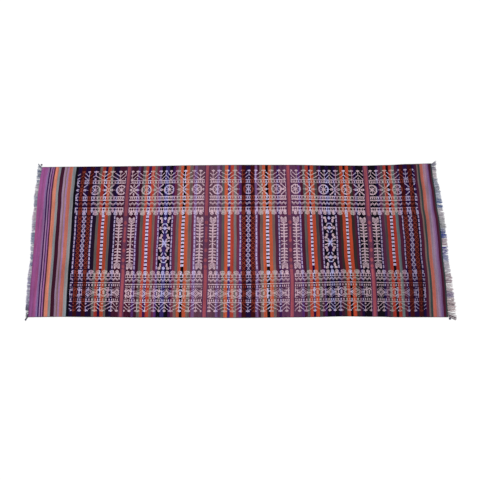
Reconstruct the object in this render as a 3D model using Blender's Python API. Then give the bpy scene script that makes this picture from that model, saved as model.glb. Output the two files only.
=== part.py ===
"""Soumak runner rug, lying flat: one woven field and a cut warp fringe at each short end.

Metres, +Z up. The origin is on the underside at the middle of the field. +X runs along the rug
and +Y across it, towards the far long edge. All of it rests on the plane z = 0.
"""

import math
import random
from typing import NamedTuple

import bmesh
import bpy

COLLECTION = "soumak_rug"

# The field: its nominal half sizes, its thickness inside, and how its rim thins out
HALF_LENGTH = 0.990
HALF_WIDTH = 0.387
FIELD_THICKNESS = 0.0026
HEM_RISE = 0.0003
HEM_WIDTH = 0.012
RIM_WIDTH = 0.003
RIM_THICKNESS = 0.0015
SWELL = 0.0001
SWELLS_LONG = 5
SWELLS_WIDE = 2
CELLS_LONG = 44
CELLS_WIDE = 15

# The strip that carries a fringe, and the locks on it
PARTING = 0.0004
STRIP_WIDTH = 0.004
STRIP_THICKNESS = 0.0016
LOCKS = 104
LOCK_SHARE = 0.60
LOCK_WANDER = 0.0008
LENGTH_WANDER = 0.12
CORNER_FAN = 0.020
CORNER_REACH = 0.034
SEED = 31


class LongEdge(NamedTuple):
    """How far the far and the near long edge stand out from the nominal half width, at x."""

    x: float
    far: float
    near: float


class ShortEdge(NamedTuple):
    """How far each end stands out from the nominal half length, and its fringe, at y."""

    y: float
    left: float
    right: float
    left_fringe: float
    right_fringe: float


class Section(NamedTuple):
    """A section of a lock: its place along it, and its sizes as shares of the root's."""

    along: float
    width: float
    height: float


class Tuft(NamedTuple):
    """A corner lock that lies past a long edge: which corner, how far it goes, how it leans."""

    side: int
    edge: int
    length: float
    lean: float


class Wave(NamedTuple):
    """A wave in how neighbouring locks lean: its size, turns in each metre, and its start."""

    size: float
    turns: float
    start: float


LONG_EDGES = (
    LongEdge(-0.990, -0.0045, -0.0045),
    LongEdge(-0.850, -0.0035, -0.0058),
    LongEdge(-0.660, -0.0028, -0.0036),
    LongEdge(-0.450, -0.0020, -0.0004),
    LongEdge(-0.220, 0.0008, 0.0012),
    LongEdge(0.000, 0.0014, 0.0036),
    LongEdge(0.270, 0.0000, 0.0022),
    LongEdge(0.510, -0.0046, -0.0010),
    LongEdge(0.650, -0.0062, 0.0012),
    LongEdge(0.760, -0.0041, 0.0038),
    LongEdge(0.870, 0.0006, 0.0044),
    LongEdge(0.990, 0.0034, 0.0050),
)

SHORT_EDGES = (
    ShortEdge(-0.387, -0.0036, 0.0039, 0.012, 0.037),
    ShortEdge(-0.330, -0.0016, 0.0062, 0.014, 0.035),
    ShortEdge(-0.250, -0.0002, 0.0092, 0.015, 0.029),
    ShortEdge(-0.190, -0.0002, 0.0098, 0.016, 0.028),
    ShortEdge(-0.100, -0.0001, 0.0078, 0.012, 0.026),
    ShortEdge(-0.010, 0.0009, 0.0101, 0.016, 0.023),
    ShortEdge(0.080, 0.0018, 0.0090, 0.018, 0.026),
    ShortEdge(0.160, 0.0033, 0.0030, 0.016, 0.025),
    ShortEdge(0.230, 0.0048, 0.0022, 0.017, 0.024),
    ShortEdge(0.310, 0.0014, -0.0034, 0.017, 0.019),
    ShortEdge(0.387, -0.0050, -0.0047, 0.022, 0.021),
)

LOCK_SECTIONS = (
    Section(0.55, 0.95, 0.90),
    Section(1.00, 0.45, 0.55),
)

SLANT_WAVES = (
    Wave(0.0024, 9.0, 0.4),
    Wave(0.0016, 23.0, 1.9),
)

TUFTS = (
    Tuft(-1, 1, 0.025, 0.008),
    Tuft(-1, -1, 0.019, -0.001),
    Tuft(1, 1, 0.024, -0.004),
    Tuft(1, -1, 0.018, -0.003),
)


def eased(rows, place, column, at):
    """Reads a column of a table at any place, with soft turns between its rows."""
    if at <= getattr(rows[0], place):
        return getattr(rows[0], column)
    for before, after in zip(rows, rows[1:]):
        start, stop = getattr(before, place), getattr(after, place)
        if at <= stop:
            share = (at - start) / (stop - start)
            share = share * share * (3 - 2 * share)
            low, high = getattr(before, column), getattr(after, column)
            return low + (high - low) * share
    return getattr(rows[-1], column)


def end_reach(side, y):
    """How far the cloth reaches from the middle, along x, at one end."""
    column = "left" if side < 0 else "right"
    return HALF_LENGTH + eased(SHORT_EDGES, "y", column, y)


def edge_reach(edge, x):
    """How far the cloth reaches from the middle, across, at one long edge."""
    column = "near" if edge < 0 else "far"
    return HALF_WIDTH + eased(LONG_EDGES, "x", column, x)


def cloth_point(along, across):
    """The place on the cloth of shares from -1 to 1 along it and across it."""
    x_share, y_share = (along + 1) / 2, (across + 1) / 2
    y = across * HALF_WIDTH
    x = along * HALF_LENGTH
    left, right = -end_reach(-1, y), end_reach(1, y)
    near, far = -edge_reach(-1, x), edge_reach(1, x)
    return left + (right - left) * x_share, near + (far - near) * y_share


def line_places(half, cells):
    """Shares of the grid's lines: one at the rim's inner side, one at the hem's, the rest even."""
    rim, hem = RIM_WIDTH / half, HEM_WIDTH / half
    inner = cells - 4
    middle = [(1 - hem) * (2 * k / inner - 1) for k in range(inner + 1)]
    return [-1, rim - 1, *middle, 1 - rim, 1]


def cloth_height(along, across):
    """Height of the woven face: low at the rim, a little thick at the hem, slow swells inside."""
    inset = min((1 - abs(along)) * HALF_LENGTH, (1 - abs(across)) * HALF_WIDTH)
    swell = math.sin(SWELLS_LONG * math.pi * along) * math.cos(SWELLS_WIDE * math.pi * across)
    inside = FIELD_THICKNESS + SWELL * swell
    if inset < RIM_WIDTH / 2:
        return RIM_THICKNESS
    if inset < HEM_WIDTH / 2:
        return FIELD_THICKNESS
    if inset < HEM_WIDTH * 2:
        return inside + HEM_RISE
    return inside


def new_material(name, colour, roughness):
    """A Principled material of one colour."""
    material = bpy.data.materials.new(name)
    material.use_nodes = True
    shader = material.node_tree.nodes["Principled BSDF"]
    shader.inputs["Base Color"].default_value = (*colour, 1)
    shader.inputs["Roughness"].default_value = roughness
    shader.inputs["Metallic"].default_value = 0
    return material


def add_piece(name, shape, collection, material):
    """Turns a bmesh into a named object with its faces outward."""
    bmesh.ops.recalc_face_normals(shape, faces=shape.faces)
    mesh = bpy.data.meshes.new(name)
    shape.to_mesh(mesh)
    shape.free()
    mesh.materials.append(material)
    piece = bpy.data.objects.new(name, mesh)
    collection.objects.link(piece)
    return piece


def make_field(collection, material):
    """The woven field: a grid fitted to the uneven outline, raised from its flat underside."""
    long_lines = line_places(HALF_LENGTH, CELLS_LONG)
    wide_lines = line_places(HALF_WIDTH, CELLS_WIDE)
    shape = bmesh.new()
    bmesh.ops.create_grid(shape, x_segments=CELLS_LONG, y_segments=CELLS_WIDE, size=1)
    raised = bmesh.ops.extrude_face_region(shape, geom=shape.faces[:])["geom"]
    upper = {item for item in raised if isinstance(item, bmesh.types.BMVert)}
    for corner in shape.verts:
        along = long_lines[round((corner.co.x + 1) / 2 * CELLS_LONG)]
        across = wide_lines[round((corner.co.y + 1) / 2 * CELLS_WIDE)]
        height = cloth_height(along, across) if corner in upper else 0
        corner.co = (*cloth_point(along, across), height)
    piece = add_piece("rug_field", shape, collection, material)
    piece.data.shade_smooth()
    piece.data.set_sharp_from_angle(angle=math.radians(40))


def end_line(side):
    """The straight-sided line that the field's end follows, as y and x pairs from near to far."""
    points = [cloth_point(side, across) for across in line_places(HALF_WIDTH, CELLS_WIDE)]
    return [(y, x) for x, y in points]


def read_line(line, y):
    """x on the end's line at y."""
    for (start, low), (stop, high) in zip(line, line[1:]):
        if y <= stop:
            return low + (high - low) * (y - start) / (stop - start)
    return line[-1][1]


def strip_places(line):
    """y of the strip's lines, from near to far, where locks and gaps take turns."""
    near, far = line[0][0] + PARTING, line[-1][0] - PARTING
    pitch = (far - near) / (LOCKS - 1 + LOCK_SHARE)
    places = []
    for lock in range(LOCKS):
        places.append(near + lock * pitch)
        places.append(near + (lock + LOCK_SHARE) * pitch)
    return places


def slant_at(y):
    """Sideways lean that neighbouring locks share."""
    return sum(w.size * math.sin(w.turns * math.tau * y + w.start) for w in SLANT_WAVES)


def corner_fan(y, near, far):
    """Extra lean of the locks next to a corner, outward past the long edge."""
    fan = 0.0
    for edge, end in ((-1, near), (1, far)):
        closeness = max(0.0, 1 - abs(y - end) / CORNER_REACH)
        fan += edge * CORNER_FAN * closeness**2
    return fan


def draw_out(shape, face, outward, tip, sizes):
    """Grows a lock from a face of the strip, section by section, level on the floor."""
    root = face.calc_center_median()
    width, height = sizes
    for section in LOCK_SECTIONS:
        face = bmesh.ops.extrude_discrete_faces(shape, faces=[face])["faces"][0]
        middle = face.calc_center_median()
        bend = section.along**1.5
        centre_x = root.x + tip[0] * (section.along if outward == "x" else bend)
        centre_y = root.y + tip[1] * (bend if outward == "x" else section.along)
        heading = math.atan2(tip[1], tip[0])
        across = (-math.sin(heading), math.cos(heading))
        for corner in face.verts:
            offset = corner.co - middle
            turned = offset.x * across[0] + offset.y * across[1]
            step = math.copysign(width * section.width / 2, turned)
            raised = height * section.height if offset.z > 0 else 0
            corner.co = (centre_x + across[0] * step, centre_y + across[1] * step, raised)


def make_fringe(name, side, collection, material, rng):
    """One end's fringe: a strip just off the cloth's end, and the locks drawn out of it."""
    line = end_line(side)
    places = strip_places(line)
    cells = len(places) - 1
    shape = bmesh.new()
    bmesh.ops.create_grid(shape, x_segments=1, y_segments=cells, size=1)
    raised = bmesh.ops.extrude_face_region(shape, geom=shape.faces[:])["geom"]
    upper = {item for item in raised if isinstance(item, bmesh.types.BMVert)}
    for corner in shape.verts:
        y = places[round((corner.co.y + 1) / 2 * cells)]
        outer = corner.co.x > 0
        x = read_line(line, y) + side * (PARTING + (STRIP_WIDTH if outer else 0))
        corner.co = (x, y, STRIP_THICKNESS if corner in upper else 0)
    bmesh.ops.recalc_face_normals(shape, faces=shape.faces)
    roots = []
    tuft_roots = {}
    for face in shape.faces:
        middle = face.calc_center_median()
        if side * face.normal.x > 0.7:
            roots.append((middle.y, face))
        elif abs(face.normal.y) > 0.7:
            tuft_roots[int(math.copysign(1, middle.y))] = face
    roots.sort(key=lambda item: item[0])
    column = "left_fringe" if side < 0 else "right_fringe"
    pitch = places[2] - places[0]
    root_size = (pitch * LOCK_SHARE, STRIP_THICKNESS)
    for y, face in roots[::2]:
        length = eased(SHORT_EDGES, "y", column, y) - STRIP_WIDTH - PARTING
        length *= 1 + rng.uniform(-LENGTH_WANDER, LENGTH_WANDER)
        fan = corner_fan(y, places[0], places[-1])
        lean = slant_at(y) + fan + rng.uniform(-LOCK_WANDER, LOCK_WANDER)
        draw_out(shape, face, "x", (side * length, lean), root_size)
    for tuft in TUFTS:
        if tuft.side == side:
            tip = (side * tuft.lean, tuft.edge * tuft.length)
            tuft_size = (STRIP_WIDTH, STRIP_THICKNESS)
            draw_out(shape, tuft_roots[tuft.edge], "y", tip, tuft_size)
    add_piece(name, shape, collection, material)


def clear_scene():
    """Removes what a new file holds."""
    for thing in list(bpy.data.objects):
        bpy.data.objects.remove(thing, do_unlink=True)


def main():
    """Builds the rug's three pieces."""
    clear_scene()
    collection = bpy.data.collections.new(COLLECTION)
    bpy.context.scene.collection.children.link(collection)
    rng = random.Random(SEED)
    field_yarn = new_material("field_yarn", (0.095, 0.026, 0.060), 0.92)
    warp_yarn = new_material("warp_yarn", (0.400, 0.350, 0.400), 0.95)
    make_field(collection, field_yarn)
    make_fringe("fringe_left", -1, collection, warp_yarn, rng)
    make_fringe("fringe_right", 1, collection, warp_yarn, rng)


main()
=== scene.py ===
"""Soumak runner rug, lying flat: its striped cloth, its raised pattern wefts and its cut fringes.

Metres, +Z up, with the origin on the underside at the middle of the cloth. The weaver's plan is in
millimetres: u runs along the rug from its left end, and v runs across it from its far edge.
"""

import logging
import math
from dataclasses import dataclass, field
from enum import Enum
from typing import NamedTuple

import bmesh
import bpy
import numpy as np
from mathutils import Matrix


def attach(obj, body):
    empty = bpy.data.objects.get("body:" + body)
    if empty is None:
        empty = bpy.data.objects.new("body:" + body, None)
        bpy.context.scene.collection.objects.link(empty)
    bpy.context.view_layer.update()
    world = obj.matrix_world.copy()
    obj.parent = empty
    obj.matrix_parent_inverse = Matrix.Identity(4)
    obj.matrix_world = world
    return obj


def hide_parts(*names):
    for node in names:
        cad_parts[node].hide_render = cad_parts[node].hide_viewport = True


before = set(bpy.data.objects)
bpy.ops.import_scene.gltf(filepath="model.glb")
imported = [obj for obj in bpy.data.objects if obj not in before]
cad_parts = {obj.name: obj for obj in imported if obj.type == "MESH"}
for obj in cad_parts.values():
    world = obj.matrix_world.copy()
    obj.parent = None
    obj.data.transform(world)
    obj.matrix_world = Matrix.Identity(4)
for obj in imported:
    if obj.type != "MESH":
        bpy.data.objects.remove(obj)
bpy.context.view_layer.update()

LOG = logging.getLogger("soumak_rug")

MM = 0.001
YARN_COLOUR = "yarn"
# A noise seldom goes below this, or above 1 less this
NOISE_LOW = 0.25
# The map that pictures of a piece's colours are laid out on
PICTURE_MAP = "OFBake"
PLAN_LENGTH = 1980.0
PLAN_WIDTH = 790.0
PATTERN_START = 191.0
PATTERN_END = 1892.0
ROW = 2.4
# Lines of the cloth's mesh at its rim, and how close two lines may be, in millimetres
RIM_LINES = (0.0, 1.2, 3.0)
NARROWEST_CELL = 0.8
MIDDLE_FIRST = 114
MIRROR_ROW = 173
MIDDLE_LAST = 230
# The first and the last end of the broad columns along the plan
COLUMNS_START = 208.0
COLUMNS_END = 1877.0
# Shares of a broad column: a rust stripe, a ladder, and a dark edge of the beads
RUST_SHARE = 0.32
RAIL_SHARE = 0.36
EDGE_SHARE = 0.065
# The middles of the far and the near pattern rows, and how far from there they still drift
FAR_MIDDLE, FAR_REACH = 195, 150
NEAR_MIDDLE, NEAR_REACH = 624, 130


class Dye(Enum):
    """The dyed wools, as red, green and blue from 0 to 255."""

    MAGENTA = (138, 74, 124)
    LIGHT_MAUVE = (140, 92, 138)
    MAUVE = (144, 95, 143)
    GREY_LILAC = (126, 98, 138)
    LILAC = (148, 114, 150)
    LILAC_PINK = (146, 119, 141)
    BROWN_MAUVE = (122, 94, 94)
    DUSTY_LILAC = (138, 112, 136)
    DUSTY_ROSE = (132, 104, 118)
    DARK_VIOLET = (52, 18, 70)
    VIOLET = (76, 38, 94)
    SOFT_VIOLET = (104, 74, 116)
    HEATHER = (82, 46, 74)
    INDIGO = (24, 6, 50)
    BLUE_INDIGO = (46, 34, 92)
    BLACK = (10, 4, 14)
    BLACK_PLUM = (26, 8, 32)
    PLUM = (74, 33, 58)
    DUSK = (86, 56, 73)
    WINE = (66, 22, 44)
    DARK_WINE = (56, 18, 38)
    RED_WINE = (98, 40, 62)
    CRIMSON = (140, 68, 80)
    APRICOT = (186, 116, 97)
    SALMON = (174, 100, 86)
    CORAL = (156, 88, 78)
    ORANGE = (176, 80, 54)
    BURNT_ORANGE = (160, 62, 40)
    RED_ORANGE = (158, 58, 46)
    DEEP_ORANGE = (142, 46, 38)
    SAGE = (128, 128, 132)
    SEA_GREY = (90, 97, 99)
    DOVE = (112, 102, 103)
    ASH = (106, 87, 85)
    STONE = (84, 79, 79)
    SLATE = (66, 58, 61)
    UMBER = (46, 37, 36)
    BOTTLE = (46, 56, 56)
    RUST = (152, 66, 54)
    RUST_BLACK = (50, 8, 12)
    WHITE = (216, 206, 240)
    LAVENDER = (194, 178, 214)
    BLUE_LAVENDER = (200, 196, 245)
    PINK_WHITE = (220, 190, 203)
    PINK_GREY = (187, 153, 174)
    PALE_SALMON = (196, 158, 149)
    PALE_GREY = (184, 172, 172)


class Motif(Enum):
    """What a stripe carries in the middle of the rug."""

    PLAIN = "plain"
    DASHES = "dashes"
    SQUARES = "squares"
    LADDER = "ladder"
    CROSSES = "crosses"
    LOZENGES = "lozenges"
    BLOSSOM = "blossom"
    BEADS = "beads"


class Stripe(NamedTuple):
    """A stripe of weft: where it ends, its ground, and its pattern yarn, motif and pattern picks."""

    end: float
    ground: Dye
    mark: Dye | None = None
    motif: Motif = Motif.PLAIN
    picks: int = 0


class Guard(NamedTuple):
    """The nine stripes between two broad columns: where the first starts and where each ends."""

    start: float
    dashes: float
    wine: float
    grey: float
    orange: float
    squares: float
    second_orange: float
    second_grey: float
    second_wine: float
    second_dashes: float


class GuardDyes(NamedTuple):
    """The grounds of a guard's stripes, in the order of its stripes."""

    dashes: Dye
    wine: Dye
    grey: Dye
    orange: Dye
    squares: Dye
    second_orange: Dye
    second_grey: Dye
    second_wine: Dye
    second_dashes: Dye


class LongEdge(NamedTuple):
    """How far the far and the near long edge stand out from the nominal half width, at x."""

    x: float
    far: float
    near: float


class ShortEdge(NamedTuple):
    """How far each end stands out from the nominal half length, and its fringe, at y."""

    y: float
    left: float
    right: float
    left_fringe: float
    right_fringe: float


class Sway(NamedTuple):
    """How far the wefts lean aside at the places in SWAY_STOPS, in millimetres, at v."""

    v: float
    shifts: tuple[float, ...]


class Sag(NamedTuple):
    """How far the far and the near pattern rows drift across the rug, in millimetres, at u."""

    u: float
    far: float
    near: float


class Wear(NamedTuple):
    """How bright the pattern yarns still are far and near across the rug, at u."""

    u: float
    far: float
    near: float


class Petal(NamedTuple):
    """An oval of a blossom, in picks and rows from the plant's middle, and its radii."""

    away: float
    up: float
    half_width: float
    half_height: float


class Bar(NamedTuple):
    """Whole rows of pattern weft: the first, and the row after the last."""

    first: int
    last: int


class Ticks(NamedTuple):
    """Rows with two marked picks out of four: the rows, and the first marked pick."""

    first: int
    last: int
    start: int


class Ripple(NamedTuple):
    """A slow wave in the way the warp ends lie: its depth, its waves to a metre and its start."""

    depth: float
    waves: float
    start: float


class Bunch(NamedTuple):
    """A run of warp ends of one colour: where it ends across the rug, its wool, and a darker colour
    painted on its strands as shade between them.
    """

    end: float
    wool: tuple[int, int, int]
    painted_shade: tuple[int, int, int]


LONG_EDGES = (
    LongEdge(-0.990, -0.0045, -0.0045),
    LongEdge(-0.850, -0.0035, -0.0058),
    LongEdge(-0.660, -0.0028, -0.0036),
    LongEdge(-0.450, -0.0020, -0.0004),
    LongEdge(-0.220, 0.0008, 0.0012),
    LongEdge(0.000, 0.0014, 0.0036),
    LongEdge(0.270, 0.0000, 0.0022),
    LongEdge(0.510, -0.0046, -0.0010),
    LongEdge(0.650, -0.0062, 0.0012),
    LongEdge(0.760, -0.0041, 0.0038),
    LongEdge(0.870, 0.0006, 0.0044),
    LongEdge(0.990, 0.0034, 0.0050),
)

SHORT_EDGES = (
    ShortEdge(-0.387, -0.0036, 0.0039, 0.012, 0.037),
    ShortEdge(-0.330, -0.0016, 0.0062, 0.014, 0.035),
    ShortEdge(-0.250, -0.0002, 0.0092, 0.015, 0.029),
    ShortEdge(-0.190, -0.0002, 0.0098, 0.016, 0.028),
    ShortEdge(-0.100, -0.0001, 0.0078, 0.012, 0.026),
    ShortEdge(-0.010, 0.0009, 0.0101, 0.016, 0.023),
    ShortEdge(0.080, 0.0018, 0.0090, 0.018, 0.026),
    ShortEdge(0.160, 0.0033, 0.0030, 0.016, 0.025),
    ShortEdge(0.230, 0.0048, 0.0022, 0.017, 0.024),
    ShortEdge(0.310, 0.0014, -0.0034, 0.017, 0.019),
    ShortEdge(0.387, -0.0050, -0.0047, 0.022, 0.021),
)

LEFT_MARGIN = (
    Stripe(32, Dye.MAGENTA),
    Stripe(37, Dye.LIGHT_MAUVE),
    Stripe(43, Dye.GREY_LILAC),
    Stripe(50, Dye.DARK_VIOLET),
    Stripe(56, Dye.LILAC),
    Stripe(61, Dye.DARK_VIOLET),
    Stripe(67, Dye.MAUVE),
    Stripe(74, Dye.PLUM),
    Stripe(91, Dye.APRICOT),
    Stripe(103, Dye.SAGE),
    Stripe(121, Dye.DARK_WINE),
    Stripe(130, Dye.LILAC_PINK),
    Stripe(136, Dye.BROWN_MAUVE),
    Stripe(145, Dye.LILAC),
    Stripe(162, Dye.SALMON),
    Stripe(178, Dye.SAGE),
    Stripe(191, Dye.BLACK),
    Stripe(204, Dye.INDIGO, Dye.LAVENDER, Motif.DASHES, 4),
    Stripe(208, Dye.INDIGO),
)

RIGHT_MARGIN = (
    Stripe(1881, Dye.BLACK),
    Stripe(1892, Dye.INDIGO, Dye.LAVENDER, Motif.DASHES, 4),
    Stripe(1904, Dye.WINE),
    Stripe(1911, Dye.ASH),
    Stripe(1920, Dye.BOTTLE),
    Stripe(1934, Dye.CORAL),
    Stripe(1942, Dye.DUSTY_ROSE),
    Stripe(1950, Dye.DUSTY_LILAC),
    Stripe(1956, Dye.GREY_LILAC),
    Stripe(1962, Dye.SOFT_VIOLET),
    Stripe(1973, Dye.WINE),
    Stripe(1980, Dye.BOTTLE),
)

GUARDS = (
    Guard(269, 283, 298, 311, 327, 340, 357, 369, 385, 398),
    Guard(493, 505, 519, 533, 547, 561, 578, 590, 603, 614),
    Guard(671, 683, 697, 711, 725, 740, 757, 774, 783, 797),
    Guard(898, 910, 924, 937, 954, 966, 983, 996, 1008, 1021),
    Guard(1087, 1100, 1112, 1126, 1141, 1156, 1172, 1185, 1199, 1211),
    Guard(1305, 1316, 1330, 1343, 1358, 1369, 1386, 1400, 1411, 1422),
    Guard(1478, 1491, 1504, 1516, 1532, 1544, 1561, 1576, 1586, 1598),
    Guard(1694, 1706, 1720, 1733, 1748, 1761, 1776, 1790, 1804, 1815),
)

GUARD_PICKS = (4, 4, 3, 5, 5, 5, 3, 4, 4)
BLOSSOM_GROUNDS = (Dye.BLUE_INDIGO, Dye.INDIGO)
LADDER_GROUNDS = (Dye.DARK_WINE, Dye.DUSK, Dye.HEATHER, Dye.BLACK)

GUARD_DYES = (
    GuardDyes(
        Dye.INDIGO, Dye.BLACK_PLUM, Dye.STONE, Dye.DEEP_ORANGE, Dye.INDIGO,
        Dye.BURNT_ORANGE, Dye.STONE, Dye.BLACK_PLUM, Dye.INDIGO,
    ),
    GuardDyes(
        Dye.VIOLET, Dye.DARK_WINE, Dye.STONE, Dye.RED_ORANGE, Dye.DARK_VIOLET,
        Dye.RED_ORANGE, Dye.ASH, Dye.RED_WINE, Dye.VIOLET,
    ),
    GuardDyes(
        Dye.DARK_VIOLET, Dye.RED_WINE, Dye.ASH, Dye.ORANGE, Dye.BLACK,
        Dye.ORANGE, Dye.ASH, Dye.RED_WINE, Dye.SOFT_VIOLET,
    ),
    GuardDyes(
        Dye.SOFT_VIOLET, Dye.HEATHER, Dye.STONE, Dye.ORANGE, Dye.BLUE_INDIGO,
        Dye.RED_ORANGE, Dye.DOVE, Dye.RED_WINE, Dye.VIOLET,
    ),
    GuardDyes(
        Dye.SOFT_VIOLET, Dye.WINE, Dye.ASH, Dye.ORANGE, Dye.BLACK,
        Dye.ORANGE, Dye.ASH, Dye.PLUM, Dye.DARK_VIOLET,
    ),
    GuardDyes(
        Dye.VIOLET, Dye.WINE, Dye.STONE, Dye.RED_ORANGE, Dye.INDIGO,
        Dye.BURNT_ORANGE, Dye.SLATE, Dye.DARK_WINE, Dye.DARK_VIOLET,
    ),
    GuardDyes(
        Dye.INDIGO, Dye.DARK_WINE, Dye.UMBER, Dye.BURNT_ORANGE, Dye.BLACK,
        Dye.BURNT_ORANGE, Dye.UMBER, Dye.WINE, Dye.INDIGO,
    ),
    GuardDyes(
        Dye.INDIGO, Dye.PLUM, Dye.SLATE, Dye.DEEP_ORANGE, Dye.BLACK,
        Dye.DEEP_ORANGE, Dye.SEA_GREY, Dye.WINE, Dye.INDIGO,
    ),
)

WEARS = (
    Wear(191, 1.02, 1.02),
    Wear(700, 1.08, 1.06),
    Wear(1200, 1.06, 0.98),
    Wear(1450, 1.02, 0.86),
    Wear(1600, 0.96, 0.74),
    Wear(1892, 0.90, 0.56),
)

SWAY_STOPS = (0, 90, 255, 420, 585, 750, 915, 1080, 1245, 1410, 1575, 1740, 1892, 1980)
SWAYS = (
    Sway(30, (0, -3, 0, 1, 0, -2, -5, -6, -8, -7, -6, -3, -4, 0)),
    Sway(95, (0, -2.5, 1, 2, 1, -1, -5, -4.5, -7, -6, -5, -3, -4, 0)),
    Sway(200, (0, -1, 0, -1, 0.5, -2.5, -6, -5.5, -7.5, -8.5, -8.5, -6, -6, 0)),
    Sway(320, (0, -1.3, -2, -5.3, -6.8, -9, -11, -11.4, -11.8, -11.8, -12, -11, -9.6, 0)),
    Sway(440, (0, -1.2, -3.3, -6.7, -9, -11, -12.2, -12.8, -12.6, -11.6, -12, -11, -10.4, 0)),
    Sway(600, (0, -1.4, -2.5, -6.5, -9.5, -12.3, -14.8, -12.8, -9.5, -9, -7.5, -11, -10.5, 0)),
    Sway(750, (0, -0.7, -0.7, -7.6, -11.5, -15.3, -16, -13.2, -11.4, -9, -8, -10.7, -12, 0)),
)

SAGS = (
    Sag(191, -1, -4.5),
    Sag(440, -1, -4.5),
    Sag(458, 0, 3),
    Sag(840, -1, 2),
    Sag(860, 0, 3),
    Sag(1060, 0, 3),
    Sag(1250, -1.5, -2),
    Sag(1310, -1, -2.5),
    Sag(1480, 1.5, -5),
    Sag(1640, 4.5, -4),
    Sag(1665, 5, -3.5),
    Sag(1892, 8, -1.5),
)

# Charts of half a motif: the first sign of each line is on the motif's middle pick
FERN = (
    "##.........##",
    "####.....####",
    "####.....####",
    "###.......###",
    "#...........#",
    "#.......#...#",
    "#......##...#",
    "#.....##....#",
    "#....##.....#",
    "#...##......#",
    "#..##.......#",
    "####.......##",
    "###.......##.",
    "#........##..",
    "#.......##...",
    "#......##....",
    "#.....##.....",
    "#....##.....#",
    "#...##.....##",
    "#..##......##",
    "####........#",
    "##...........",
)
SHORT_FERN = FERN[:4] + FERN[5:7] + FERN[8:13] + FERN[14:]
ZIGZAG = (
    ".....",
    "....#",
    "...##",
    "..##.",
    ".##.#",
    "##.#.",
    "#.#..",
    ".#...",
    "#....",
)
LACE = (
    "######",
    "######",
    "##..##",
    "#...##",
    "#....#",
    "#...##",
    "##..##",
    "######",
    "###.##",
    "######",
    "####.#",
    "###..#",
    "####..",
    "####..",
    "#.##..",
    "####..",
    "###...",
    "#.....",
)
SHORT_LACE = LACE[1:8] + LACE[10:]
CHEVRON = (
    "##......",
    "####....",
    "##.###..",
    "##..###.",
    "##....#.",
    "##......",
)
RUNG = (
    "######..",
    "########",
    "##.#####",
)
LEAF = (
    "###.....",
    "#.##....",
    "##.##...",
    "#.##.##.",
    "##.##.#.",
    "#.##.##.",
    "##.##.#.",
    "#.##.##.",
    "##.##.#.",
    "#.##.##.",
    "##.####.",
    ".##.###.",
    "..#####.",
    "...####.",
    "....##..",
)
CROSSING = (
    "##...",
    "##...",
    ".##..",
    ".###.",
    "..##.",
    "#..##",
    "..##.",
    ".###.",
    ".##..",
    "##...",
)
# A chart of a whole motif, since the rust stripes have no middle pick
LOZENGE = (
    "...##...",
    "..####..",
    ".##..##.",
    "##....##",
    "#......#",
    "...##...",
    "#......#",
    "##....##",
    ".##..##.",
    "..####..",
)
# Charts of a quarter of a motif: the first line is its middle row
MEDALLION = (
    "##..########",
    "#..##.#####.",
    "..##.###....",
    ".##.##...#..",
    "##.##...#.#.",
    "#.##...#.#.#",
    "###...#.#.#.",
    "##...#.....#",
    "#...#.......",
    "#..#........",
    "#.#.........",
)
MOTH = (
    "##..##....##",
    "##..###...##",
    "##...##...##",
    "##..####..##",
    "#..#####.###",
    "..#########.",
    ".#######.##.",
    "####.###....",
    "###..##.....",
    "....###.....",
    "...#####.###",
)
PETALS = (
    Petal(8.6, 53.8, 3.1, 2.9),
    Petal(6.6, 47.5, 2.2, 4.5),
    Petal(8.8, 32.0, 2.6, 3.6),
    Petal(6.4, 16.0, 2.3, 3.8),
    Petal(8.6, 10.8, 2.9, 2.8),
)

FERN_REPEAT = 24
ZIGZAG_REPEAT = 8
LACE_REPEAT = 10
MEDALLION_REPEAT = 44
FAR_BARS = (Bar(33, 35), Bar(40, 41), Bar(70, 72), Bar(77, 80))
FAR_TICKS = (Ticks(36, 40, 0), Ticks(72, 76, 0))
NEAR_BARS = (Bar(259, 261), Bar(297, 299))
NEAR_TICKS = (Ticks(263, 267, 0), Ticks(292, 296, 1))

# Where the rings stand along the plan, on their row, and where the first and last star end
RINGS = (285, 415, 541, 655, 796, 901, 1055, 1196, 1293, 1431, 1545, 1672, 1796)
RING_ROW = 55
STARS_START = 148
STARS_END = 1930

# The first row of the squares in each guard, and the rows of the beads between the ladders
SQUARE_STARTS = (112, 113, 115, 114, 115, 114, 113, 114)
BEAD_ROWS = (129, 168, 189, 210, 224)
LONG_BEAD = Bar(139, 164)
# A chain's whole motifs and the rows from one to the next, and the rows of the one cut short
CHAIN_COUNT, CHAIN_STEP, CHAIN_CUT = 11, 10.7, 6
# Rows from the rug's middle row to the parts of a ladder, and the rows of its stem
RUNG_ROWS = (12, 18, 25, 31, 38)
CHEVRON_ROW, STEM_ROW, LEAF_ROW = 1, 7, 42
STEM_ROWS = 36

# Each bunch's wool, then the darker colour painted on its strands as shade between them
LEFT_BUNCHES = (
    Bunch(-0.372, (84, 82, 100), (34, 32, 50)),
    Bunch(-0.330, (128, 124, 150), (60, 58, 84)),
    Bunch(-0.285, (186, 180, 208), (84, 84, 124)),
    Bunch(-0.240, (214, 208, 228), (110, 106, 140)),
    Bunch(-0.190, (176, 170, 204), (92, 84, 130)),
    Bunch(-0.140, (222, 214, 228), (120, 112, 144)),
    Bunch(-0.080, (150, 150, 186), (72, 70, 112)),
    Bunch(-0.020, (212, 210, 226), (104, 108, 144)),
    Bunch(0.040, (164, 172, 202), (80, 84, 126)),
    Bunch(0.100, (206, 198, 220), (100, 92, 128)),
    Bunch(0.170, (220, 204, 218), (120, 104, 132)),
    Bunch(0.230, (170, 170, 200), (84, 84, 124)),
    Bunch(0.290, (216, 208, 220), (112, 106, 130)),
    Bunch(0.345, (178, 182, 204), (84, 92, 124)),
    Bunch(0.374, (140, 150, 176), (66, 78, 106)),
    Bunch(0.420, (104, 116, 144), (42, 52, 78)),
)

# Each bunch's wool, then the darker colour painted on its strands as shade between them
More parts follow.
